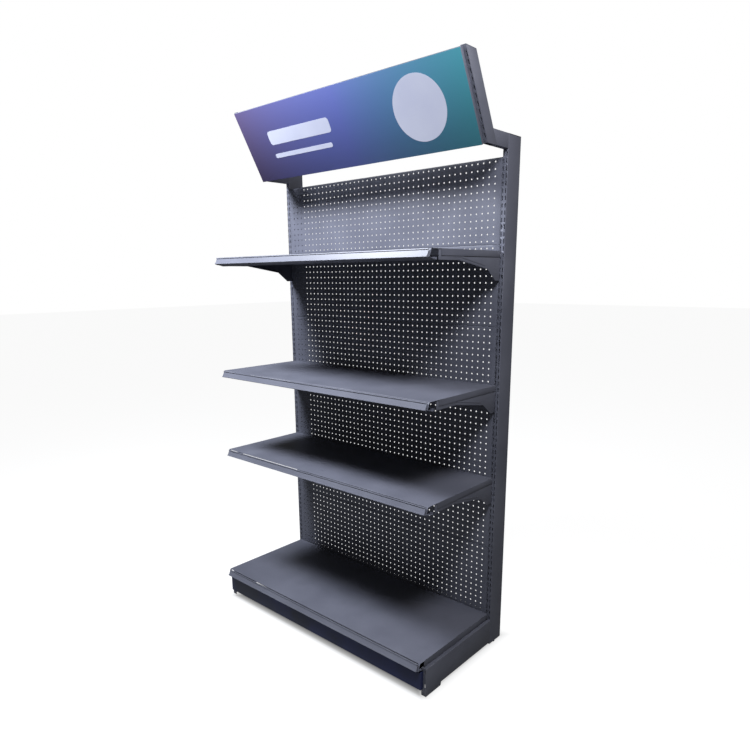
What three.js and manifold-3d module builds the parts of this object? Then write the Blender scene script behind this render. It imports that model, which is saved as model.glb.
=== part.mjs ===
// Single-sided gondola display stand: two slotted uprights on base feet carry a pegboard back,
// a base deck with a kick plate, three hook-in shelves with price rails, and a sign that leans
// forward over the top. Millimetres, +Z up, front towards -Y. The origin is on the floor, at the
// middle of the stand's width and depth.
import * as THREE from 'three';
import { mergeVertices } from 'three/addons/utils/BufferGeometryUtils.js';
import Module from 'manifold-3d';

const wasm = await Module();
wasm.setup();

// ---- driving dimensions ----
const GAP = 0.3;                      // clearance between neighbouring pieces
const PAST = 1;                       // how far a cutter runs past the face that it cuts
const WELD = 1e-4;                    // corners closer than this are one corner
const FACE = 198;                     // Y of the pegboard's front face
const FRONT = FACE;                   // Y of the uprights' slotted faces, flush with the pegboard
const UPRIGHT = { width: 22, depth: 88, wall: 2, bottom: 8, top: 2018, radius: 3, seat: 3 };
const CAP = { lid: 2, plug: 3 };
const CENTRE = 589;                   // X of each upright's centre line
const SLOT = { width: 3.9, height: 15, pitch: 25, offset: 6, first: 55, count: 79 };
const HOOK = { thick: 1.8, rise: 6, drop: 6.3, reach: 2.5, root: 1.3, play: 0.5, lap: 1 };
const TAB = 6;                        // how far a hook's tab reaches inwards of its slot
const BAY = 586;                      // half the width of a shelf, deck, kick plate or sign
const INNER = CENTRE - UPRIGHT.width / 2;
const PANEL = { height: 300, count: 6, bottom: 145, sheet: 1, flange: 20 };
const LOW_PANEL = { bottom: 30 };
const TIE = { depth: 20, height: 40, wall: 2, setback: 24, levels: [60, 1020] };
const SHELF = { sheet: 1.2, reach: 426, flange: 22, flangeFront: 372, levels: [1622, 1122, 747] };
const NOSE = { forward: 12, drop: 28, back: 28, rear: 37, lip: 10 };
const SLIT = { half: 576, start: 2, end: 7.5 };                // opening in the nose behind a rail's top
const NOTCH = 40;                     // height of the cut-outs that clear the shelf brackets
const DECK = { top: 146, reach: 464.4, noseEnd: 449, noseDrop: 31, flangeFront: 440 };
const STIFFENER = { reach: 230, width: 70, crown: 40, depth: 14, end: 560 };
const BRACKET = { sheet: 2, tip: 384, shallow: 36, knee: 265, corner: 85, cornerDrop: 65,
  heel: 30, deep: 106, flange: 9, rimStart: 20, hooks: [17, 42, 92] };
const RAIL = { half: 580, start: 3.6, end: 32.4, back: 1.2, groove: 4, grooveDepth: 7, face: 5,
  lip: 7.4, lipWall: 1.1, lipHeight: 4, foldHeight: 2, top: 1.3, bottom: 3.4, clip: 9, clipWall: 1.5 };
const FOOT = { reach: 446, height: 119, wall: 2, under: 16, toe: 97, toeSlant: 3, toeBottom: 2,
  shelf: 12, slots: [47, 104] };
const KICK = { depth: 15, sheet: 1.2, bottom: 32, top: 104 };
const LEVELLER = { pad: 8.6, padHeight: 5, neck: 6, hex: 14, hexHeight: 5, stud: 4.8, length: 42,
  chamfer: 1, hole: 5.4, holeDepth: 8, toeReach: 398 };
const FACETS = { pad: 32, stud: 24 };
const ELBOW = { bottom: 1970, height: 50, open: 5 };
const ARM = { length: 300, depth: 52, lean: THREE.MathUtils.degToRad(28.5), reach: 136, wall: 2 };
const ARM_SLOTS = { first: 25, count: 11 };
const ARM_CAP = { lid: 2.5, plug: 6, grip: 1 };
const SIGN = { height: 300, depth: 13.5, sheet: 1.2, graphic: 1.2, ribs: [-285, 285], ribHalf: 15,
  ribDepth: 8 };

const REAR = FRONT + UPRIGHT.depth;

// ---- finishes ----
const coat = () => new THREE.MeshStandardMaterial({ color: 0x5b5d66, roughness: 0.55, metalness: 0.2 });
const railGrey = () => new THREE.MeshStandardMaterial({ color: 0xa7a8b4, roughness: 0.4, metalness: 0.1 });
const kickBlue = () => new THREE.MeshStandardMaterial({ color: 0x252c52, roughness: 0.5, metalness: 0.2 });
const printInk = () => new THREE.MeshStandardMaterial({ color: 0x6a4a7c, roughness: 0.35, metalness: 0 });
const zinc = () => new THREE.MeshStandardMaterial({ color: 0xb4b6b8, roughness: 0.35, metalness: 0.9 });
const blackPlastic = () => new THREE.MeshStandardMaterial({ color: 0x222326, roughness: 0.6, metalness: 0 });

// ---- solids ----
function solid(geometry) {
  const bare = geometry.index ? geometry.toNonIndexed() : geometry;
  bare.deleteAttribute('normal');
  bare.deleteAttribute('uv');
  const merged = mergeVertices(bare, WELD);
  return new wasm.Manifold(new wasm.Mesh({
    numProp: 3,
    vertProperties: new Float32Array(merged.attributes.position.array),
    triVerts: new Uint32Array(merged.index.array),
  }));
}

function toGeometry(body) {
  const mesh = body.getMesh();
  const geometry = new THREE.BufferGeometry();
  geometry.setAttribute('position', new THREE.BufferAttribute(mesh.vertProperties, 3));
  geometry.setIndex(new THREE.BufferAttribute(mesh.triVerts, 1));
  return geometry;
}

const axes = {                        // where an outline's two axes and its extrusion point
  x: new THREE.Matrix4().makeBasis(new THREE.Vector3(0, 1, 0), new THREE.Vector3(0, 0, 1),
    new THREE.Vector3(1, 0, 0)),
  y: new THREE.Matrix4().makeBasis(new THREE.Vector3(0, 0, 1), new THREE.Vector3(1, 0, 0),
    new THREE.Vector3(0, 1, 0)),
  z: new THREE.Matrix4(),
};

// An outline extruded along one axis: [Y, Z] points along x, [Z, X] along y, [X, Y] along z.
function prism(axis, outline, from, to, hole = null) {
  const shape = new THREE.Shape(outline.map(([a, b]) => new THREE.Vector2(a, b)));
  if (hole) shape.holes.push(new THREE.Path(hole.map(([a, b]) => new THREE.Vector2(a, b))));
  const geometry = new THREE.ExtrudeGeometry(shape, { depth: to - from, bevelEnabled: false });
  geometry.translate(0, 0, from);
  return solid(geometry.applyMatrix4(axes[axis]));
}

// Corners are set, not moved into place, so that boxes with a common face share it exactly.
function box(x0, x1, y0, y1, z0, z1) {
  const geometry = new THREE.BoxGeometry(1, 1, 1);
  const corner = geometry.attributes.position;
  for (let k = 0; k < corner.count; k += 1) {
    corner.setXYZ(k, corner.getX(k) < 0 ? x0 : x1, corner.getY(k) < 0 ? y0 : y1,
      corner.getZ(k) < 0 ? z0 : z1);
  }
  return solid(geometry);
}

// A shallow pan of folded sheet, open towards +Y.
function pan(x0, x1, y0, y1, z0, z1, sheet) {
  return box(x0, x1, y0, y1, z0, z1)
    .subtract(box(x0 + sheet, x1 - sheet, y0 + sheet, y1 + PAST, z0 + sheet, z1 - sheet));
}

const join = (bodies) => bodies.reduce((all, body) => all.add(body));

const rectangle = (a0, a1, b0, b1) => [[a0, b0], [a1, b0], [a1, b1], [a0, b1]];

// A rectangle with its corners rounded in short chords.
function roundedRectangle(a0, a1, b0, b1, radius, chords = 3) {
  const corners = [[a1 - radius, b1 - radius], [a0 + radius, b1 - radius],
    [a0 + radius, b0 + radius], [a1 - radius, b0 + radius]];
  return corners.flatMap(([a, b], quarter) => Array.from({ length: chords + 1 }, (_, k) => {
    const turn = (quarter + k / chords) * Math.PI / 2;
    return [a + radius * Math.cos(turn), b + radius * Math.sin(turn)];
  }));
}

// The outline of a folded sheet: a path of outer bend points, thickened to its left.
function foldedSheet(path, thick) {
  const points = path.map(([a, b]) => new THREE.Vector2(a, b));
  const directions = points.slice(1).map((point, k) => point.clone().sub(points[k]).normalize());
  const inner = points.map((point, k) => {
    const before = directions[Math.max(k - 1, 0)];
    const after = directions[Math.min(k, directions.length - 1)];
    const left = new THREE.Vector2(-before.y - after.y, before.x + after.x).normalize();
    const stretch = thick / left.dot(new THREE.Vector2(-after.y, after.x));
    return point.clone().addScaledVector(left, stretch);
  });
  return [...points, ...inner.reverse()].map((point) => [point.x, point.y]);
}

// A hook that passes through a slot centred at x and z, and drops behind the slotted wall.
function hook(x, z, face, wall) {
  const low = z - SLOT.height / 2 + GAP;
  const behind = face + wall + HOOK.play;
  return join([
    box(x - HOOK.thick / 2, x + HOOK.thick / 2, face - HOOK.root, behind + HOOK.lap,
      low, low + HOOK.rise),
    box(x - HOOK.thick / 2, x + HOOK.thick / 2, behind, behind + HOOK.reach,
      low - HOOK.drop, low + HOOK.rise),
  ]);
}

// Slot-shaped cutters through a wall that faces -Y, in one column of each given X.
function slotCutters(columns, heights, face, wall) {
  return join(columns.flatMap((x) => heights.map((z) => box(x - SLOT.width / 2, x + SLOT.width / 2,
    face - PAST, face + wall + PAST, z - SLOT.height / 2, z + SLOT.height / 2))));
}

const columnsOf = (side) => [side * (CENTRE - SLOT.offset), side * (CENTRE + SLOT.offset)];
const span = (side, near, far) => (side > 0 ? [near, far] : [-far, -near]);

const slotHeights = Array.from({ length: SLOT.count }, (_, k) => SLOT.first + k * SLOT.pitch);

// ---- frame ----
function upright(side) {
  const [x0, x1] = span(side, CENTRE - UPRIGHT.width / 2, CENTRE + UPRIGHT.width / 2);
  const { wall, radius, bottom, top } = UPRIGHT;
  const tube = prism('z', roundedRectangle(x0, x1, FRONT, REAR, radius), bottom, top,
    roundedRectangle(x0 + wall, x1 - wall, FRONT + wall, REAR - wall, radius - wall));
  const plate = box(x0 + wall / 2, x1 - wall / 2, FRONT + wall / 2, REAR - wall / 2,
    FOOT.shelf, FOOT.shelf + UPRIGHT.seat);
  const [x, y] = levellerPlaces[side > 0 ? 'rear_right' : 'rear_left'];
  return tube.add(plate).subtract(levellerHole(x, y))
    .subtract(slotCutters(columnsOf(side), slotHeights, FRONT, wall));
}

function uprightCap(side) {
  const [x0, x1] = span(side, CENTRE - UPRIGHT.width / 2, CENTRE + UPRIGHT.width / 2);
  const { wall, radius, top } = UPRIGHT;
  const inset = wall + GAP;
  return join([
    prism('z', roundedRectangle(x0, x1, FRONT, REAR, radius), top + GAP, top + GAP + CAP.lid),
    box(x0 + inset, x1 - inset, FRONT + inset, REAR - inset, top - CAP.plug, top + GAP + CAP.lid / 2),
  ]);
}

function tieBeam(level) {
  const { depth, height, wall, setback } = TIE;
  const y = FACE + setback;
  return prism('x', rectangle(y, y + depth, level, level + height), -INNER + GAP, INNER - GAP,
    rectangle(y + wall, y + depth - wall, level + wall, level + height - wall));
}

function backPanel(bottom, top) {
  const half = INNER - GAP;
  return pan(-half, half, FACE, FACE + PANEL.flange, bottom, top, PANEL.sheet);
}

function foot(side) {
  const { reach, height, wall, under, toe, toeSlant, toeBottom, shelf } = FOOT;
  const front = FACE - reach;
  const toeEnd = front + toe - toeSlant;
  const rear = FRONT - GAP;
  const outer = CENTRE + UPRIGHT.width / 2;
  const inner = CENTRE - UPRIGHT.width / 2;
  const webOutline = [[front, toeBottom], [front, height], [rear, height], [rear, under],
    [front + toe, under], [toeEnd, toeBottom]];
  const web = prism('x', webOutline, ...span(side, outer - wall, outer));
  const [x0, x1] = span(side, inner, outer - wall / 2);
  const flanges = [
    box(x0, x1, front, rear, height - wall, height),
    box(x0, x1, front, front + wall, toeBottom, height),
    box(x0, x1, rear - wall, rear, under, height),
    box(x0, x1, front + wall / 2, toeEnd, shelf, shelf + wall),
    box(x0, x1, front + toe, rear, under, under + wall),
  ];
  const hooks = columnsOf(side).flatMap((x) => [slotHeights[0], slotHeights[2]]
    .map((z) => hook(x, z, FRONT, UPRIGHT.wall)));
  const [x, y] = levellerPlaces[side > 0 ? 'front_right' : 'front_left'];
  return join([web, ...flanges, ...hooks]).subtract(levellerHole(x, y))
    .subtract(slotCutters(columnsOf(side), FOOT.slots, front, wall));
}

// ---- levelling feet ----
const levellerPlaces = {
  front_left: [-CENTRE, FACE - LEVELLER.toeReach],
  front_right: [CENTRE, FACE - LEVELLER.toeReach],
  rear_left: [-CENTRE, FRONT + UPRIGHT.depth / 2],
  rear_right: [CENTRE, FRONT + UPRIGHT.depth / 2],
};

function levellerHole(x, y) {
  const { hole, holeDepth } = LEVELLER;
  const cutter = new THREE.CylinderGeometry(hole, hole, holeDepth, FACETS.stud).rotateX(Math.PI / 2);
  return solid(cutter.translate(x, y, FOOT.shelf + UPRIGHT.seat / 2));
}

function turned(profile, x, y, segments) {
  const points = profile.map(([r, z]) => new THREE.Vector2(r, z));
  const lathe = new THREE.LatheGeometry(points, segments).rotateX(Math.PI / 2);
  return lathe.translate(x, y, 0);
}

function levellerPad(x, y) {
  const { pad, padHeight, neck } = LEVELLER;
  return solid(turned([[0, 0], [pad, 0], [pad, padHeight / 2], [neck, padHeight], [0, padHeight]],
    x, y, FACETS.pad));
}

function levellerStud(x, y) {
  const { padHeight, hex, hexHeight, stud, length, chamfer } = LEVELLER;
  const start = padHeight + GAP;
  const hexRadius = hex / 2 / Math.cos(Math.PI / 6);
  const nut = new THREE.CylinderGeometry(hexRadius, hexRadius, hexHeight, 6).rotateX(Math.PI / 2);
  const root = start + hexHeight / 2;
  const top = start + hexHeight + length;
  return solid(nut.translate(x, y, root)).add(solid(turned(
    [[0, root], [stud, root], [stud, top - chamfer], [stud - chamfer, top], [0, top]],
    x, y, FACETS.stud)));
}

// ---- shelves and base deck ----
// A folded tray: top sheet, rear rim, and a hollow nose whose front face slopes outwards. A long slit
// in the nose takes the rail, and notches at the rear clear the brackets.
function tray(top, reach, flangeFront, rimDrop, nosePath) {
  const rear = FACE - 2 * GAP;
  const front = FACE - reach;
  const path = [[rear, top - rimDrop], [rear, top], [front, top], ...nosePath];
  const outline = foldedSheet(path, SHELF.sheet);
  const flange = (side) => box(...span(side, BAY - SHELF.sheet, BAY),
    FACE - flangeFront, rear, top - rimDrop, top);
  const notch = (side) => box(...span(side, INNER - 2 * GAP, BAY + PAST),
    rear - SHELF.sheet - GAP, rear + PAST, top - NOTCH, top + PAST);
  const slit = box(-SLIT.half, SLIT.half, front - NOSE.forward / 2, front + 2 * SHELF.sheet,
    top - SLIT.end, top - SLIT.start);
  return join([prism('x', outline, -BAY, BAY), flange(1), flange(-1)])
    .subtract(slit).subtract(notch(1)).subtract(notch(-1));
}

// A hat channel under the top sheet, open at its ends.
function stiffener(top) {
  const { reach, width, crown, depth, end } = STIFFENER;
  const middle = FACE - reach;
  const under = top - SHELF.sheet;
  const path = [[middle - width / 2, under], [middle - crown / 2, under - depth],
    [middle + crown / 2, under - depth], [middle + width / 2, under]];
  return prism('x', foldedSheet(path, SHELF.sheet), -end, end);
}

function shelf(top) {
  const front = FACE - SHELF.reach;
  const { forward, drop, back, rear, lip } = NOSE;
  const nosePath = [[front - forward, top - drop], [front + back, top - rear],
    [front + back, top - rear + lip]];
  return tray(top, SHELF.reach, SHELF.flangeFront, SHELF.flange, nosePath).add(stiffener(top));
}

function baseDeck() {
  const { top, reach, noseEnd, noseDrop } = DECK;
  const front = FACE - reach;
  const nosePath = [[front - NOSE.forward, top - NOSE.drop], [FACE - noseEnd, top - noseDrop]];
  return tray(top, reach, DECK.flangeFront, top - FOOT.height - GAP, nosePath).add(stiffener(top));
}

function bracket(side, shelfTop) {
  const { sheet, tip, shallow, knee, corner, cornerDrop, heel, deep, flange, rimStart } = BRACKET;
  const x = side * (CENTRE - SLOT.offset);
  const top = shelfTop - SHELF.sheet - GAP;
  const rear = FRONT - GAP;
  const outline = [[rear, top], [FACE - tip, top], [FACE - tip, shelfTop - shallow],
    [FACE - knee, shelfTop - shallow], [FACE - corner, shelfTop - cornerDrop],
    [FACE - heel, shelfTop - deep], [rear, shelfTop - deep]];
  const plate = prism('x', outline, x - sheet / 2, x + sheet / 2);
  const edge = [[FACE - tip + rimStart, shelfTop - shallow], [FACE - knee, shelfTop - shallow],
    [FACE - corner, shelfTop - cornerDrop]];
  const rim = prism('x', foldedSheet(edge, sheet),
    ...(side > 0 ? [x - flange, x] : [x, x + flange]));
  const hooks = BRACKET.hooks.map((drop) => hook(x, shelfTop - drop, FRONT, UPRIGHT.wall));
  return join([plate, rim, ...hooks]);
}

// A ticket rail: a back along the sloping nose with a groove behind its top edge, two lips in front
// that hold the ticket, and a clip under the nose.
function priceRail(top, reach) {
  const start = new THREE.Vector2(FACE - reach, top);
  const slope = new THREE.Vector2(-NOSE.forward, -NOSE.drop).normalize();
  const out = new THREE.Vector2(slope.y, -slope.x);
  const at = (along, away) => {
    const point = start.clone().addScaledVector(slope, along).addScaledVector(out, away);
    return [point.x, point.y];
  };
  const { half, start: a, end: b, back, groove, grooveDepth, face, lip, clip, clipWall } = RAIL;
  const inner = lip - RAIL.lipWall;
  const seat = b - RAIL.bottom;
  const fold = seat - RAIL.foldHeight;
  const outline = [
    at(a, groove), at(a, lip), at(a + RAIL.lipHeight, lip), at(a + RAIL.lipHeight, inner),
    at(a + RAIL.top, inner), at(a + RAIL.top, face), at(seat, face), at(seat, inner),
    at(fold, inner), at(fold, lip), at(b, lip), at(b, back),
    at(b - clipWall, -clip), at(b - 2 * clipWall, -clip), at(b - clipWall, back),
    at(a + grooveDepth, back), at(a + grooveDepth, groove),
  ];
  return prism('x', outline, -half, half);
}

function kickPlate() {
  const { depth, sheet, bottom, top } = KICK;
  const rear = FACE - FOOT.reach - GAP;
  const front = rear - depth;
  const tabs = [-1, 1].map((side) => box(...span(side, CENTRE - SLOT.offset - TAB, BAY - sheet / 2),
    rear - sheet, rear, bottom + sheet / 2, top - sheet / 2));
  const hooks = [-1, 1].flatMap((side) => FOOT.slots.map((z) => hook(
    side * (CENTRE - SLOT.offset), z, FACE - FOOT.reach, FOOT.wall)));
  return join([pan(-BAY, BAY, front, rear, bottom, top, sheet), ...tabs, ...hooks]);
}

// ---- sign ----
const ARM_ANCHOR = [FACE - ARM.reach, ELBOW.bottom];          // Y, Z of the arms' front lower edge
const armRise = ARM.depth * Math.tan(ARM.lean);               // a level cut across a leaning arm
const armAcross = ARM.depth / Math.cos(ARM.lean);

function elbow(side) {
  const [x0, x1] = span(side, CENTRE - UPRIGHT.width / 2, CENTRE + UPRIGHT.width / 2);
  const rear = FRONT - GAP;
  const { bottom, height, open } = ELBOW;
  const seam = (z) => ARM_ANCHOR[0] + armAcross - (z - bottom) * Math.tan(ARM.lean) + 2 * GAP;
  const outline = (inset) => [[rear - inset, bottom + inset], [rear - inset, bottom + height - inset],
    [seam(bottom + height - inset), bottom + height - inset], [seam(bottom + inset), bottom + inset]];
  const shell = prism('x', outline(0), x0, x1);
  const core = prism('x', outline(ARM.wall).map(([y, z], k) => [k > 1 ? y - open : y, z]),
    x0 + ARM.wall, x1 - ARM.wall);
  const levels = slotHeights.filter((z) => z > bottom && z < bottom + height);
  const hooks = columnsOf(side).flatMap((x) => levels.map((z) => hook(x, z, FRONT, UPRIGHT.wall)));
  return join([shell.subtract(core), ...hooks]);
}

// The arm and the sign are drawn upright, with the arms' slotted faces at Y 0, and then leant.
function arm(side) {
  const { length, depth, wall } = ARM;
  const [x0, x1] = span(side, CENTRE - UPRIGHT.width / 2, CENTRE + UPRIGHT.width / 2);
  const outline = [[0, 0], [0, length], [depth, length - armRise], [depth, -armRise]];
  const heights = Array.from({ length: ARM_SLOTS.count }, (_, k) => ARM_SLOTS.first + k * SLOT.pitch);
  const core = box(x0 + wall, x1 - wall, wall, depth - wall, -armRise - PAST, length + PAST);
  return prism('x', outline, x0, x1).subtract(core)
    .subtract(slotCutters(columnsOf(side), heights, 0, wall));
}

function armCap(side) {
  const { length, depth, wall } = ARM;
  const { lid, plug, grip } = ARM_CAP;
  const [x0, x1] = span(side, CENTRE - UPRIGHT.width / 2, CENTRE + UPRIGHT.width / 2);
  const inset = wall + GAP;
  const lift = (y, up) => [y, length + up - y * Math.tan(ARM.lean)];
  const cover = prism('x', [lift(0, GAP), lift(0, lid), lift(depth, lid), lift(depth, GAP)], x0, x1);
  return cover.add(prism('x', [lift(inset, -plug), lift(inset, grip), lift(depth - inset, grip),
    lift(depth - inset, -plug)], x0 + inset, x1 - inset));
}

function signPanel() {
  const { height, depth, sheet, ribs, ribHalf, ribDepth } = SIGN;
  const rear = -GAP;
  const front = rear - depth;
  const tabs = [-1, 1].map((side) => box(...span(side, CENTRE - SLOT.offset - TAB, BAY - sheet / 2),
    rear - sheet, rear, sheet / 2, height - sheet / 2));
  const stiffeners = ribs.map((x) => box(x - ribHalf, x + ribHalf, front + sheet / 2,
    front + sheet + ribDepth, sheet / 2, height - sheet / 2));
  const heights = [ARM_SLOTS.first + SLOT.pitch, ARM_SLOTS.first + (ARM_SLOTS.count - 2) * SLOT.pitch];
  const hooks = [-1, 1].flatMap((side) => heights.map((z) => hook(
    side * (CENTRE - SLOT.offset), z, 0, ARM.wall)));
  return join([pan(-BAY, BAY, front, rear, 0, height, sheet), ...tabs, ...stiffeners, ...hooks]);
}

function signGraphic() {
  const rear = -GAP - SIGN.depth - GAP;
  return box(-BAY, BAY, rear - SIGN.graphic, rear, 0, SIGN.height);
}

// ---- the stand ----
const stand = new THREE.Group();
const leaning = new THREE.Group();
leaning.position.set(0, ...ARM_ANCHOR);
leaning.rotation.x = ARM.lean;
stand.add(leaning);

function add(name, body, material, group = stand) {
  const mesh = new THREE.Mesh(toGeometry(body), material);
  mesh.name = name;
  group.add(mesh);
}

for (const [name, side] of [['left', -1], ['right', 1]]) {
  add(`upright_${name}`, upright(side), coat());
  add(`upright_cap_${name}`, uprightCap(side), blackPlastic());
  add(`foot_${name}`, foot(side), coat());
  add(`sign_elbow_${name}`, elbow(side), coat());
  add(`sign_arm_${name}`, arm(side), coat(), leaning);
  add(`sign_arm_cap_${name}`, armCap(side), coat(), leaning);
  SHELF.levels.forEach((level, k) => add(`bracket_${k + 1}_${name}`, bracket(side, level), coat()));
}
for (const [name, [x, y]] of Object.entries(levellerPlaces)) {
  add(`leveller_pad_${name}`, levellerPad(x, y), blackPlastic());
  add(`leveller_stud_${name}`, levellerStud(x, y), zinc());
}
TIE.levels.forEach((level, k) => add(['tie_beam_lower', 'tie_beam_middle'][k], tieBeam(level), coat()));
for (let k = 0; k < PANEL.count; k += 1) {
  const bottom = PANEL.bottom + (PANEL.count - 1 - k) * PANEL.height;
  add(`back_panel_${k + 1}`, backPanel(bottom + GAP, bottom + PANEL.height - GAP), coat());
}
add('base_back_panel', backPanel(LOW_PANEL.bottom, PANEL.bottom - GAP), coat());
SHELF.levels.forEach((level, k) => {
  add(`shelf_${k + 1}`, shelf(level), coat());
  add(`price_rail_${k + 1}`, priceRail(level, SHELF.reach), railGrey());
});
add('base_deck', baseDeck(), coat());
add('price_rail_base', priceRail(DECK.top, DECK.reach), railGrey());
add('kick_plate', kickPlate(), kickBlue());
add('sign_panel', signPanel(), coat(), leaning);
add('sign_graphic', signGraphic(), printInk(), leaning);

export default stand;
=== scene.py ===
import math
import bpy
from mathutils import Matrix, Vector


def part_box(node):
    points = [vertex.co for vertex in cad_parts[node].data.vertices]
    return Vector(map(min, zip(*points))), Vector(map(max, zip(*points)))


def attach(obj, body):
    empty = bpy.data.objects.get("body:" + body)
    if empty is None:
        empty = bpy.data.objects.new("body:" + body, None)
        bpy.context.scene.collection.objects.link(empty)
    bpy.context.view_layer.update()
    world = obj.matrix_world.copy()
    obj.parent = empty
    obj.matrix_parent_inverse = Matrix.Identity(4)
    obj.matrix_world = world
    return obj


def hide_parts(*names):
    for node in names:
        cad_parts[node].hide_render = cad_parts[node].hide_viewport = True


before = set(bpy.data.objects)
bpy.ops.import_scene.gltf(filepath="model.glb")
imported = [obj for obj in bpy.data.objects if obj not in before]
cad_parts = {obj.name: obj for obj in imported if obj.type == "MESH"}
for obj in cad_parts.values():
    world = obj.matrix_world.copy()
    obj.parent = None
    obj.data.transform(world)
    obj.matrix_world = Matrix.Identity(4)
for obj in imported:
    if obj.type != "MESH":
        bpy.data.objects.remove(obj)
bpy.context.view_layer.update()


def linear(hexColour):
    channels = [int(hexColour[k:k + 2], 16) / 255 for k in (1, 3, 5)]
    turned = [c / 12.92 if c <= 0.04045 else ((c + 0.055) / 1.055) ** 2.4 for c in channels]
    return (*turned, 1.0)


def addNode(tree, kind, values=None, links=None, **settings):
    node = tree.nodes.new(kind)
    for name, value in settings.items():
        setattr(node, name, value)
    for socket, value in (values or {}).items():
        node.inputs[socket].default_value = value
    for socket, source in (links or {}).items():
        tree.links.new(source, node.inputs[socket])
    return node


def newMaterial(name, **shaderValues):
    material = bpy.data.materials.new(name)
    material.use_nodes = True
    tree = material.node_tree
    tree.nodes.clear()
    shader = addNode(tree, "ShaderNodeBsdfPrincipled", shaderValues)
    addNode(tree, "ShaderNodeOutputMaterial", links={"Surface": shader.outputs["BSDF"]})
    place = addNode(tree, "ShaderNodeTexCoord").outputs["Object"]
    return material, tree, shader, place


def rampOf(tree, factor, stops, interpolation="LINEAR"):
    ramp = addNode(tree, "ShaderNodeValToRGB", links={"Fac": factor})
    elements = ramp.color_ramp.elements
    ramp.color_ramp.interpolation = interpolation
    while len(elements) < len(stops):
        elements.new(0.5)
    for element, (position, colour) in zip(elements, stops):
        element.position = position
        element.color = linear(colour) if isinstance(colour, str) else (colour, colour, colour, 1)
    return ramp.outputs["Color"]


# Polyester powder coat baked on folded steel sheet: an even satin skin with a fine orange peel,
# a little cloudiness where the powder lies thicker, and thin dust.
powderCoat = {
    "colour": "#6f717c", "cloudColour": "#656772", "dustColour": "#8d8f99",
    "roughness": 0.42, "roughnessSpread": 0.12,
    "peelMm": 1.6, "peelDepthMm": 0.035,  # the real peel is finer: drawn as coarse as it needs to show
    "cloudMm": 160, "grainMm": 2.4, "dustShare": 0.28, "peelStrength": 0.6,
}


def makePowderCoat(name, look):
    material, tree, shader, place = newMaterial(name, **{"IOR": 1.5, "Metallic": 0.0})
    cloud = addNode(tree, "ShaderNodeTexNoise", {"Scale": 1000 / look["cloudMm"], "Detail": 3.0},
                    {"Vector": place}).outputs["Fac"]
    grain = addNode(tree, "ShaderNodeTexNoise", {"Scale": 1000 / look["grainMm"], "Detail": 2.0},
                    {"Vector": place}).outputs["Fac"]
    base = rampOf(tree, cloud, [(0.35, look["cloudColour"]), (0.65, look["colour"])])
    speck = rampOf(tree, grain, [(0.55, 0.0), (0.8, 1.0)])
    mixed = addNode(tree, "ShaderNodeMix", {"B": linear(look["dustColour"])}, {"A": base},
                    data_type="RGBA")
    speckShare = addNode(tree, "ShaderNodeMath", {1: look["dustShare"]}, {0: speck}, operation="MULTIPLY")
    tree.links.new(speckShare.outputs[0], mixed.inputs["Factor"])
    tree.links.new(mixed.outputs["Result"], shader.inputs["Base Color"])
    low, spread = look["roughness"], look["roughnessSpread"]
    gloss = addNode(tree, "ShaderNodeMapRange", {"To Min": low, "To Max": low + spread}, {"Value": cloud})
    tree.links.new(gloss.outputs["Result"], shader.inputs["Roughness"])
    peel = addNode(tree, "ShaderNodeTexNoise", {"Scale": 1000 / look["peelMm"], "Detail": 1.0},
                   {"Vector": place}).outputs["Fac"]
    bump = addNode(tree, "ShaderNodeBump", {"Distance": look["peelDepthMm"] / 1000,
                                            "Strength": look["peelStrength"]}, {"Height": peel})
    tree.links.new(bump.outputs["Normal"], shader.inputs["Normal"])
    return material


# Digital print on a calendered sheet under a matt laminate: one plain even run from plum to teal.
printLook = {"stops": [(0.0, "#4a4060"), (0.5, "#5560a0"), (1.0, "#408c98")], "roughness": 0.5,
             "laminate": 0.08, "laminateRoughness": 0.2, "grainMm": 1.5, "grainDepthMm": 0.01}


def makePrint(name, look, width):
    material, tree, shader, place = newMaterial(name, **{"IOR": 1.49, "Roughness": look["roughness"],
                                                         "Coat Weight": look["laminate"],
                                                         "Coat Roughness": look["laminateRoughness"]})
    parts = addNode(tree, "ShaderNodeSeparateXYZ", links={"Vector": place})
    across = addNode(tree, "ShaderNodeMapRange", {"From Min": -width / 2, "From Max": width / 2},
                     {"Value": parts.outputs["X"]}).outputs["Result"]
    tree.links.new(rampOf(tree, across, look["stops"]), shader.inputs["Base Color"])
    grain = addNode(tree, "ShaderNodeTexNoise", {"Scale": 1000 / look["grainMm"]}, {"Vector": place})
    bump = addNode(tree, "ShaderNodeBump", {"Distance": look["grainDepthMm"] / 1000, "Strength": 0.4},
                   {"Height": grain.outputs["Fac"]})
    tree.links.new(bump.outputs["Normal"], shader.inputs["Normal"])
    return material


# Zinc plate on turned steel: bright, faintly mottled grey.
zincLook = {"pale": "#c9cccd", "dark": "#a3a8ab", "mottleMm": 4, "roughness": 0.32,
            "roughnessSpread": 0.08}


def makeZinc(name, look):
    material, tree, shader, place = newMaterial(name, **{"Metallic": 1.0})
    mottle = addNode(tree, "ShaderNodeTexVoronoi", {"Scale": 1000 / look["mottleMm"]},
                     {"Vector": place}).outputs["Distance"]
    colour = rampOf(tree, mottle, [(0.1, look["dark"]), (0.7, look["pale"])])
    tree.links.new(colour, shader.inputs["Base Color"])
    gloss = addNode(tree, "ShaderNodeMapRange", {"To Min": look["roughness"] - look["roughnessSpread"],
                                                 "To Max": look["roughness"] + look["roughnessSpread"]},
                    {"Value": mottle})
    tree.links.new(gloss.outputs["Result"], shader.inputs["Roughness"])
    return material


# Injection-moulded polypropylene, spark-eroded texture: matt black with a fine even grain.
mouldedLook = {"colour": "#1f2023", "wear": "#2c2d31", "grainMm": 0.9, "grainDepthMm": 0.05,
               "roughness": 0.62}


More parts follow.
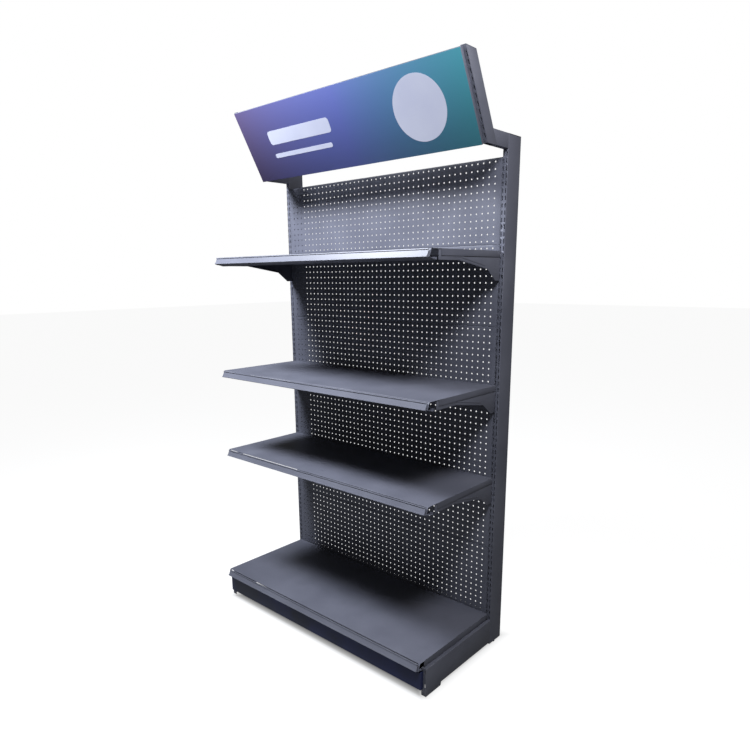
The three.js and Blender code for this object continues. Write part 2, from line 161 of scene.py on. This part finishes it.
def makeMoulded(name, look):
    material, tree, shader, place = newMaterial(name, **{"IOR": 1.49, "Roughness": look["roughness"]})
    grain = addNode(tree, "ShaderNodeTexNoise", {"Scale": 1000 / look["grainMm"], "Detail": 2.0},
                    {"Vector": place}).outputs["Fac"]
    tree.links.new(rampOf(tree, grain, [(0.4, look["colour"]), (0.7, look["wear"])]),
                   shader.inputs["Base Color"])
    bump = addNode(tree, "ShaderNodeBump", {"Distance": look["grainDepthMm"] / 1000, "Strength": 0.7},
                   {"Height": grain})
    tree.links.new(bump.outputs["Normal"], shader.inputs["Normal"])
    return material


coatGrey = makePowderCoat("powderCoatedSteelGrey", powderCoat)
railSilver = makePowderCoat("powderCoatedRailSilver", {
    **powderCoat, "colour": "#7e808b", "cloudColour": "#767883", "dustColour": "#a0a2ac", "roughness": 0.34})
skirtNavy = makePowderCoat("powderCoatedNavy", {
    **powderCoat, "colour": "#2b3568", "cloudColour": "#222944", "dustColour": "#3f4763", "roughness": 0.4})
# Lighter, glossier coat for folded edges: partly paint rubbed thin, partly a painted highlight along the
# bends.
wornEdgeAndPaintedHighlight = makePowderCoat("powderCoatWornEdgeAndPaintedHighlight", {
    **powderCoat, "colour": "#8a8b93", "cloudColour": "#75767e", "dustColour": "#a3a3a8", "roughness": 0.34})
vinylWhite = makePowderCoat("castVinylWhite", {
    **powderCoat, "colour": "#cfd2e0", "cloudColour": "#c8cbdc", "dustColour": "#dcdee8",
    "peelDepthMm": 0.008, "roughness": 0.36})
zinc = makeZinc("zincPlatedSteel", zincLook)
moulded = makeMoulded("mouldedPolypropyleneBlack", mouldedLook)
print("materials made")


def deselectAll():
    if bpy.context.object and bpy.context.object.mode != "OBJECT":
        bpy.ops.object.mode_set(mode="OBJECT")
    bpy.ops.object.select_all(action="DESELECT")


def makeActive(piece):
    deselectAll()
    bpy.context.view_layer.objects.active = piece
    piece.select_set(True)


def applyModifier(piece, kind, **settings):
    makeActive(piece)
    modifier = piece.modifiers.new(kind.title(), kind)
    for name, value in settings.items():
        setattr(modifier, name, value)
    bpy.ops.object.modifier_apply(modifier=modifier.name)


def pick(piece, kind, test):  # selects the vertices, edges or faces whose middle passes the test
    bpy.ops.object.mode_set(mode="EDIT")
    bpy.ops.mesh.select_mode(type={"vertices": "VERT", "edges": "EDGE", "polygons": "FACE"}[kind])
    bpy.ops.mesh.select_all(action="DESELECT")
    bpy.ops.object.mode_set(mode="OBJECT")
    mesh = piece.data
    for item in getattr(mesh, kind):
        if kind == "vertices":
            points = [item.co]
        else:
            points = [mesh.vertices[v].co for v in item.vertices]
        middle = sum(points, Vector()) / len(points)
        direction = item.normal if kind == "polygons" else points[-1] - points[0]
        item.select = bool(test(middle, direction))
    bpy.ops.object.mode_set(mode="EDIT")


meshLimits = {"weld": 0.00001, "flatDegrees": 0.2, "foldDegrees": 40, "same": 0.0001}


def copyOf(node, name):  # a CAD node's mesh as a new merged piece with whole flat faces
    piece = bpy.data.objects.new(name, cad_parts[node].data.copy())
    bpy.context.scene.collection.objects.link(piece)
    makeActive(piece)
    bpy.ops.object.mode_set(mode="EDIT")
    bpy.ops.mesh.select_all(action="SELECT")
    bpy.ops.mesh.remove_doubles(threshold=meshLimits["weld"])
    bpy.ops.mesh.dissolve_limited(angle_limit=math.radians(meshLimits["flatDegrees"]))
    bpy.ops.object.mode_set(mode="OBJECT")
    return piece


def finishPiece(piece, material, body, slot, *nodes, smoothAngle=35):
    makeActive(piece)
    bpy.ops.object.transform_apply(location=True, rotation=True, scale=True)
    bpy.ops.object.shade_smooth_by_angle(angle=math.radians(smoothAngle))
    if not piece.data.materials:
        piece.data.materials.append(material)
    else:
        piece.data.materials[0] = material
    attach(piece, body)
    if nodes:
        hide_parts(*nodes)
    return piece


def foldedCopy(node, name, look, material, body, slot):
    piece = copyOf(node, name)
    piece.data.materials.clear()
    piece.data.materials.append(material)
    # Where the look lists it, the bevel's faces take a second coat: worn edges with a painted highlight.
    if look.get("edgeWearAndHighlight"):
        piece.data.materials.append(look["edgeWearAndHighlight"])
    settings = {"material": 1} if look.get("edgeWearAndHighlight") else {}
    applyModifier(piece, "BEVEL", width=look["radius"], segments=look["segments"],
                  limit_method="ANGLE", angle_limit=math.radians(meshLimits["foldDegrees"]),
                  use_clamp_overlap=True, harden_normals=False, **settings)
    return finishPiece(piece, material, body, slot, node)


pegboard = {"pitch": 0.025, "hole": 0.006, "sides": 12, "columns": 45, "rows": 12,
            "sheet": 0.001, "fold": 0.0012, "foldSegments": 2}


def makePegboard(node, name, look):
    low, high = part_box(node)
    same = meshLimits["same"]
    half = look["pitch"] / 2
    middle = (low.z + high.z) / 2
    firstX = -(look["columns"] - 1) / 2 * look["pitch"]
    firstZ = middle - (look["rows"] - 1) / 2 * look["pitch"]
    deselectAll()
    bpy.ops.mesh.primitive_circle_add(vertices=look["sides"], radius=look["hole"] / 2,
                                      location=(firstX, low.y, firstZ),
                                      rotation=(math.radians(90), math.radians(180 / look["sides"]), 0))
    panel = bpy.context.object
    panel.name = name
    bpy.ops.object.transform_apply(location=True, rotation=True)
    bpy.ops.object.mode_set(mode="EDIT")
    bpy.ops.mesh.select_all(action="SELECT")
    bpy.ops.mesh.extrude_edges_move()
    bpy.ops.object.mode_set(mode="OBJECT")
    for vertex in panel.data.vertices:  # the outer ring goes out to the cell's square
        if vertex.select:
            out = vertex.co - Vector((firstX, low.y, firstZ))
            stretch = half / max(abs(out.x), abs(out.z))
            vertex.co = Vector((firstX, low.y, firstZ)) + out * stretch
    for offset, count in (((look["pitch"], 0, 0), look["columns"]), ((0, 0, look["pitch"]), look["rows"])):
        applyModifier(panel, "ARRAY", count=count, use_relative_offset=False, use_constant_offset=True,
                      constant_offset_displace=offset, use_merge_vertices=True,
                      use_merge_vertices_cap=False, merge_threshold=same)
    edgeX = -firstX + half
    edgeZ = look["rows"] / 2 * look["pitch"]
    for vertex in panel.data.vertices:  # the border reaches the sheet's own edges
        if abs(vertex.co.x) > edgeX - same:
            vertex.co.x = math.copysign(high.x, vertex.co.x)
        if abs(vertex.co.z - middle) > edgeZ - same:
            vertex.co.z = high.z if vertex.co.z > middle else low.z
    onBorder = lambda at, along: (abs(abs(at.x) - high.x) < same
                                  or min(abs(at.z - low.z), abs(at.z - high.z)) < same)
    makeActive(panel)
    pick(panel, "edges", onBorder)
    bpy.ops.mesh.extrude_edges_move(TRANSFORM_OT_translate={"value": (0, high.y - low.y, 0)})
    pick(panel, "edges", lambda at, along: abs(at.y - low.y) < same and onBorder(at, along))
    bpy.ops.mesh.bevel(offset=look["fold"], segments=look["foldSegments"], affect="EDGES")
    bpy.ops.mesh.select_all(action="SELECT")
    bpy.ops.mesh.normals_make_consistent(inside=False)
    bpy.ops.object.mode_set(mode="OBJECT")
    facing = sum(face.normal.y * face.area for face in panel.data.polygons)
    if facing > 0:
        makeActive(panel)
        bpy.ops.object.mode_set(mode="EDIT")
        bpy.ops.mesh.select_all(action="SELECT")
        bpy.ops.mesh.flip_normals()
        bpy.ops.object.mode_set(mode="OBJECT")
    applyModifier(panel, "SOLIDIFY", thickness=look["sheet"], offset=-1, use_even_offset=True)
    return finishPiece(panel, coatGrey, "frame", "coat", node)


for k in range(1, 7):
    makePegboard(f"back_panel_{k}", f"pegboard_{k}", pegboard)
print("pegboard panels made")


sheetFold = {"radius": 0.0006, "segments": 2}
tubeFold = {"radius": 0.0005, "segments": 2}
# The feet's bends carry the lighter edge coat: wear plus a painted highlight.
footFold = {"radius": 0.0009, "segments": 3, "edgeWearAndHighlight": wornEdgeAndPaintedHighlight}
railFold = {"radius": 0.0003, "segments": 1}

foldedCopy("base_back_panel", "base_back_sheet", sheetFold, coatGrey, "frame", "coat")
for side in ("left", "right"):
    foldedCopy(f"upright_{side}", f"upright_{side}_tube", tubeFold, coatGrey, "frame", "coat")
    foldedCopy(f"foot_{side}", f"foot_{side}_shell", footFold, coatGrey, "frame", "coat")
    foldedCopy(f"sign_elbow_{side}", f"sign_elbow_{side}_shell", sheetFold, coatGrey, "frame", "coat")
    foldedCopy(f"sign_arm_{side}", f"sign_arm_{side}_tube", tubeFold, coatGrey, "frame", "coat")
    foldedCopy(f"sign_arm_cap_{side}", f"sign_arm_{side}_lid", sheetFold, coatGrey, "frame", "coat")
    foldedCopy(f"upright_cap_{side}", f"upright_{side}_plug", sheetFold, moulded, "frame", "black_plastic")
    for k in (1, 2, 3):
        body = f"bracket_{k}_{side}"
        foldedCopy(body, f"{body}_plate", sheetFold, coatGrey, body, "coat")

# A bead is pressed out of each bracket's plate, along its lower edge. The drops are measured from the
# shelf's top surface, which lies seatGap above the plate.
bead = {"width": 0.007, "seatGap": 0.0015, "rise": 0.0007, "inset": 0.013, "rearIn": 0.016, "frontIn": 0.034,
        "kneeBack": 0.119, "kneeDrop": 0.036, "cornerBack": 0.299, "cornerDrop": 0.065}


def addBead(side, k):
    node = f"bracket_{k}_{side}"
    low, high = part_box(node)
    face = high.x if side == "right" else low.x
    top = high.z + bead["seatGap"]
    path = [(low.y + bead["frontIn"], top - bead["kneeDrop"] + bead["inset"]),
            (low.y + bead["kneeBack"], top - bead["kneeDrop"] + bead["inset"]),
            (low.y + bead["cornerBack"] - bead["rearIn"], top - bead["cornerDrop"] + bead["inset"])]
    deselectAll()
    bpy.ops.mesh.primitive_grid_add(x_subdivisions=2, y_subdivisions=1, size=1)
    strip = bpy.context.object
    strip.name = f"{node}_bead"
    columns = sorted({round(v.co.x, 4) for v in strip.data.vertices})
    for vertex in strip.data.vertices:
        y, z = path[columns.index(round(vertex.co.x, 4))]
        vertex.co = (face, y, z + math.copysign(bead["width"] / 2, vertex.co.y))
    outward = 1 if side == "right" else -1
    applyModifier(strip, "SOLIDIFY", thickness=bead["rise"] * 2, offset=0)
    pick(strip, "edges", lambda at, along: (at.x - face) * outward > bead["rise"] / 2)
    bpy.ops.mesh.bevel(offset=bead["rise"] * 0.9, segments=2, affect="EDGES")
    bpy.ops.mesh.select_all(action="SELECT")
    bpy.ops.mesh.normals_make_consistent(inside=False)
    bpy.ops.object.mode_set(mode="OBJECT")
    finishPiece(strip, coatGrey, node, "coat")


for side in ("left", "right"):
    for k in (1, 2, 3):
        addBead(side, k)
for k in (1, 2, 3):
    foldedCopy(f"shelf_{k}", f"shelf_{k}_tray", sheetFold, coatGrey, f"shelf_{k}", "coat")
    foldedCopy(f"price_rail_{k}", f"price_rail_{k}_strip", railFold, railSilver, f"shelf_{k}", "rail")
foldedCopy("base_deck", "base_deck_tray", sheetFold, coatGrey, "base_deck", "coat")
foldedCopy("price_rail_base", "price_rail_base_strip", railFold, railSilver, "base_deck", "rail")
foldedCopy("kick_plate", "kick_plate_skirt", sheetFold, skirtNavy, "kick_plate", "kick_blue")
foldedCopy("sign_panel", "sign_panel_tray", sheetFold, coatGrey, "sign", "coat")
for level in ("lower", "middle"):
    foldedCopy(f"tie_beam_{level}", f"tie_beam_{level}_tube", tubeFold, coatGrey, "frame", "coat")
print("folded pieces made")


signFace = {"lean": math.radians(28.5), "height": 0.3, "corner": 0.003, "fold": 0.0004}
faceLow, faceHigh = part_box("sign_graphic")
signUp = Vector((0, -math.sin(signFace["lean"]), math.cos(signFace["lean"])))
signOut = Vector((0, -math.cos(signFace["lean"]), -math.sin(signFace["lean"])))
anchor = (faceLow.y + signFace["height"] * math.sin(signFace["lean"]), faceLow.z)
printed = makePrint("laminatedDigitalPrint", printLook, faceHigh.x - faceLow.x)
foldedCopy("sign_graphic", "sign_face_sheet", {"radius": signFace["fold"], "segments": 2}, printed,
           "sign", "print")

signShapes = {"lift": 0.0001, "thick": 0.0003, "turn": math.radians(90) + signFace["lean"],
              "disc": {"x": 0.375, "up": 0.155, "radius": 0.112, "sides": 72},
              "bars": {"long": {"x": -0.245, "up": 0.172, "length": 0.37, "tall": 0.056, "round": 0.014},
                       "short": {"x": -0.255, "up": 0.098, "length": 0.35, "tall": 0.018, "round": 0.0085}}}


def onFace(x, up):
    out = signShapes["lift"] + signShapes["thick"] / 2
    return Vector((x, *anchor)) + signUp * up + signOut * out


def thicken(piece, name):  # a flat outline on the face becomes a thin sheet of cut vinyl
    piece.name = name
    bpy.ops.object.transform_apply(location=True, rotation=True, scale=True)
    applyModifier(piece, "SOLIDIFY", thickness=signShapes["thick"], offset=0)
    bpy.ops.object.mode_set(mode="EDIT")
    bpy.ops.mesh.select_all(action="SELECT")
    bpy.ops.mesh.normals_make_consistent(inside=False)
    bpy.ops.object.mode_set(mode="OBJECT")
    return finishPiece(piece, vinylWhite, "sign", "print")


def makeDisc(name, look):
    deselectAll()
    bpy.ops.mesh.primitive_circle_add(vertices=look["sides"], radius=look["radius"], fill_type="NGON",
                                      location=onFace(look["x"], look["up"]),
                                      rotation=(signShapes["turn"], 0, 0))
    return thicken(bpy.context.object, name)


def makeBar(name, look):
    deselectAll()
    bpy.ops.mesh.primitive_plane_add(size=1, location=onFace(look["x"], look["up"]),
                                     rotation=(signShapes["turn"], 0, 0))
    bar = bpy.context.object
    bar.scale = (look["length"], look["tall"], 1)
    bpy.ops.object.transform_apply(location=False, rotation=False, scale=True)
    bpy.ops.object.mode_set(mode="EDIT")
    bpy.ops.mesh.select_all(action="SELECT")
    bpy.ops.mesh.bevel(offset=look["round"], segments=6, affect="VERTICES")
    bpy.ops.object.mode_set(mode="OBJECT")
    return thicken(bar, name)


makeDisc("sign_disc", signShapes["disc"])
for size, look in signShapes["bars"].items():
    makeBar(f"sign_bar_{size}", look)
print("sign face made")


for place in ("front_left", "front_right", "rear_left", "rear_right"):
    foldedCopy(f"leveller_pad_{place}", f"leveller_{place}_pad", {"radius": 0.0008, "segments": 2},
               moulded, "frame", "black_plastic")
    foldedCopy(f"leveller_stud_{place}", f"leveller_{place}_stud", {"radius": 0.0004, "segments": 2},
               zinc, f"leveller_{place}", "zinc")
print("levelling feet made")


studio = {"floorSize": 60, "floorDrop": 0.0005, "floorColour": "#8c8c8a", "floorGlow": 0.93,
          "wallColour": "#ffffff", "wallStrength": 1.0, "ambientStrength": 0.07}


def toEye(tree, seen, otherwise):  # one strength for what the eye sees, another for the light it gives
    rays = addNode(tree, "ShaderNodeLightPath")
    return addNode(tree, "ShaderNodeMapRange", {"To Min": otherwise, "To Max": seen},
                   {"Value": rays.outputs["Is Camera Ray"]}).outputs["Result"]


# Matt floor of a white studio: pale all the way back, without throwing much light up at the stand.
floorPaint, floorTree, floorShader, floorPlace = newMaterial("mattStudioFloor", **{
    "Roughness": 0.9, "Base Color": linear(studio["floorColour"]), "Emission Color": (1, 1, 1, 1)})
# The glow fades out under the stand's base, where no light reaches the floor: a painted shadow, drawn by a
# mask rather than cast by the lights.
paintedShadowFootprint = {"side": (0.5, 0.64), "front": (-0.3, -0.2), "rear": (0.2, 0.36)}


def floorMath(operation, *values):
    return addNode(floorTree, "ShaderNodeMath", links=dict(enumerate(values)), operation=operation).outputs[0]


def floorStep(value, span, low, high):
    ends = {"From Min": span[0], "From Max": span[1], "To Min": low, "To Max": high}
    return addNode(floorTree, "ShaderNodeMapRange", ends, {"Value": value},
                   interpolation_type="SMOOTHSTEP").outputs["Result"]


spot = addNode(floorTree, "ShaderNodeSeparateXYZ", links={"Vector": floorPlace}).outputs
# Painted shadow mask: 1 away from the stand, falling to 0 under its base.
outsidePaintedShadow = floorMath("MAXIMUM", floorStep(floorMath("ABSOLUTE", spot["X"]), paintedShadowFootprint["side"], 0.0, 1.0),
                floorMath("MAXIMUM", floorStep(spot["Y"], paintedShadowFootprint["front"], 1.0, 0.0),
                          floorStep(spot["Y"], paintedShadowFootprint["rear"], 0.0, 1.0)))
glow = floorMath("MULTIPLY", outsidePaintedShadow, toEye(floorTree, studio["floorGlow"], 0.0))
floorTree.links.new(glow, floorShader.inputs["Emission Strength"])
deselectAll()
bpy.ops.mesh.primitive_plane_add(size=studio["floorSize"], location=(0, 0, -studio["floorDrop"]))
floor = bpy.context.object
floor.name = "studio_floor"
floor.data.materials.append(floorPaint)

world = bpy.data.worlds.new("studio")
bpy.context.scene.world = world
world.use_nodes = True
background = world.node_tree.nodes["Background"]
background.inputs["Color"].default_value = linear(studio["wallColour"])
world.node_tree.links.new(toEye(world.node_tree, studio["wallStrength"], studio["ambientStrength"]),
                          background.inputs["Strength"])


def addLight(name, look):
    location = look["location"]
    deselectAll()
    bpy.ops.object.light_add(type="AREA", location=location)
    light = bpy.context.object
    light.name = name
    light.data.size = look["size"]
    light.data.energy = look["energy"]
    light.data.color = linear(look["colour"])[:3]
    light.rotation_euler = (Vector(look["target"]) - Vector(location)).to_track_quat("-Z", "Y").to_euler()
    return light


lights = {
    "left_key": {"size": 0.6, "energy": 84, "colour": "#eef3ff", "location": (-0.95, -0.95, 2.92),
                 "target": (0, -0.1, 1.0)},
    "right_key": {"size": 0.6, "energy": 38, "colour": "#f2f5ff", "location": (1.5, -1.0, 2.9),
                  "target": (0.2, 0, 1.0)},
    "side_fill": {"size": 0.9, "energy": 7, "colour": "#f6efe8", "location": (1.9, 0.5, 2.9),
                  "target": (0.6, 0.2, 1.0)},
}
for name, look in lights.items():
    addLight(name, look)

cameraLook = {"position": (1.809, -1.8745, 1.535), "azimuth": 42.09, "elevation": -13.35, "roll": 0.57,
              "lens": 29.73, "sensor": 36, "shiftX": 0.0065, "shiftY": 0.0647}
deselectAll()
bpy.ops.object.camera_add(location=cameraLook["position"])
camera = bpy.context.object
camera.name = "studio_camera"
camera.data.lens = cameraLook["lens"]
camera.data.sensor_width = cameraLook["sensor"]
camera.data.shift_x = cameraLook["shiftX"]
camera.data.shift_y = cameraLook["shiftY"]
camera.rotation_euler = (math.radians(90 + cameraLook["elevation"]), math.radians(cameraLook["roll"]),
                         math.radians(cameraLook["azimuth"]))
bpy.context.scene.camera = camera
bpy.context.scene.view_settings.view_transform = "Standard"
print("floor, light and camera placed")
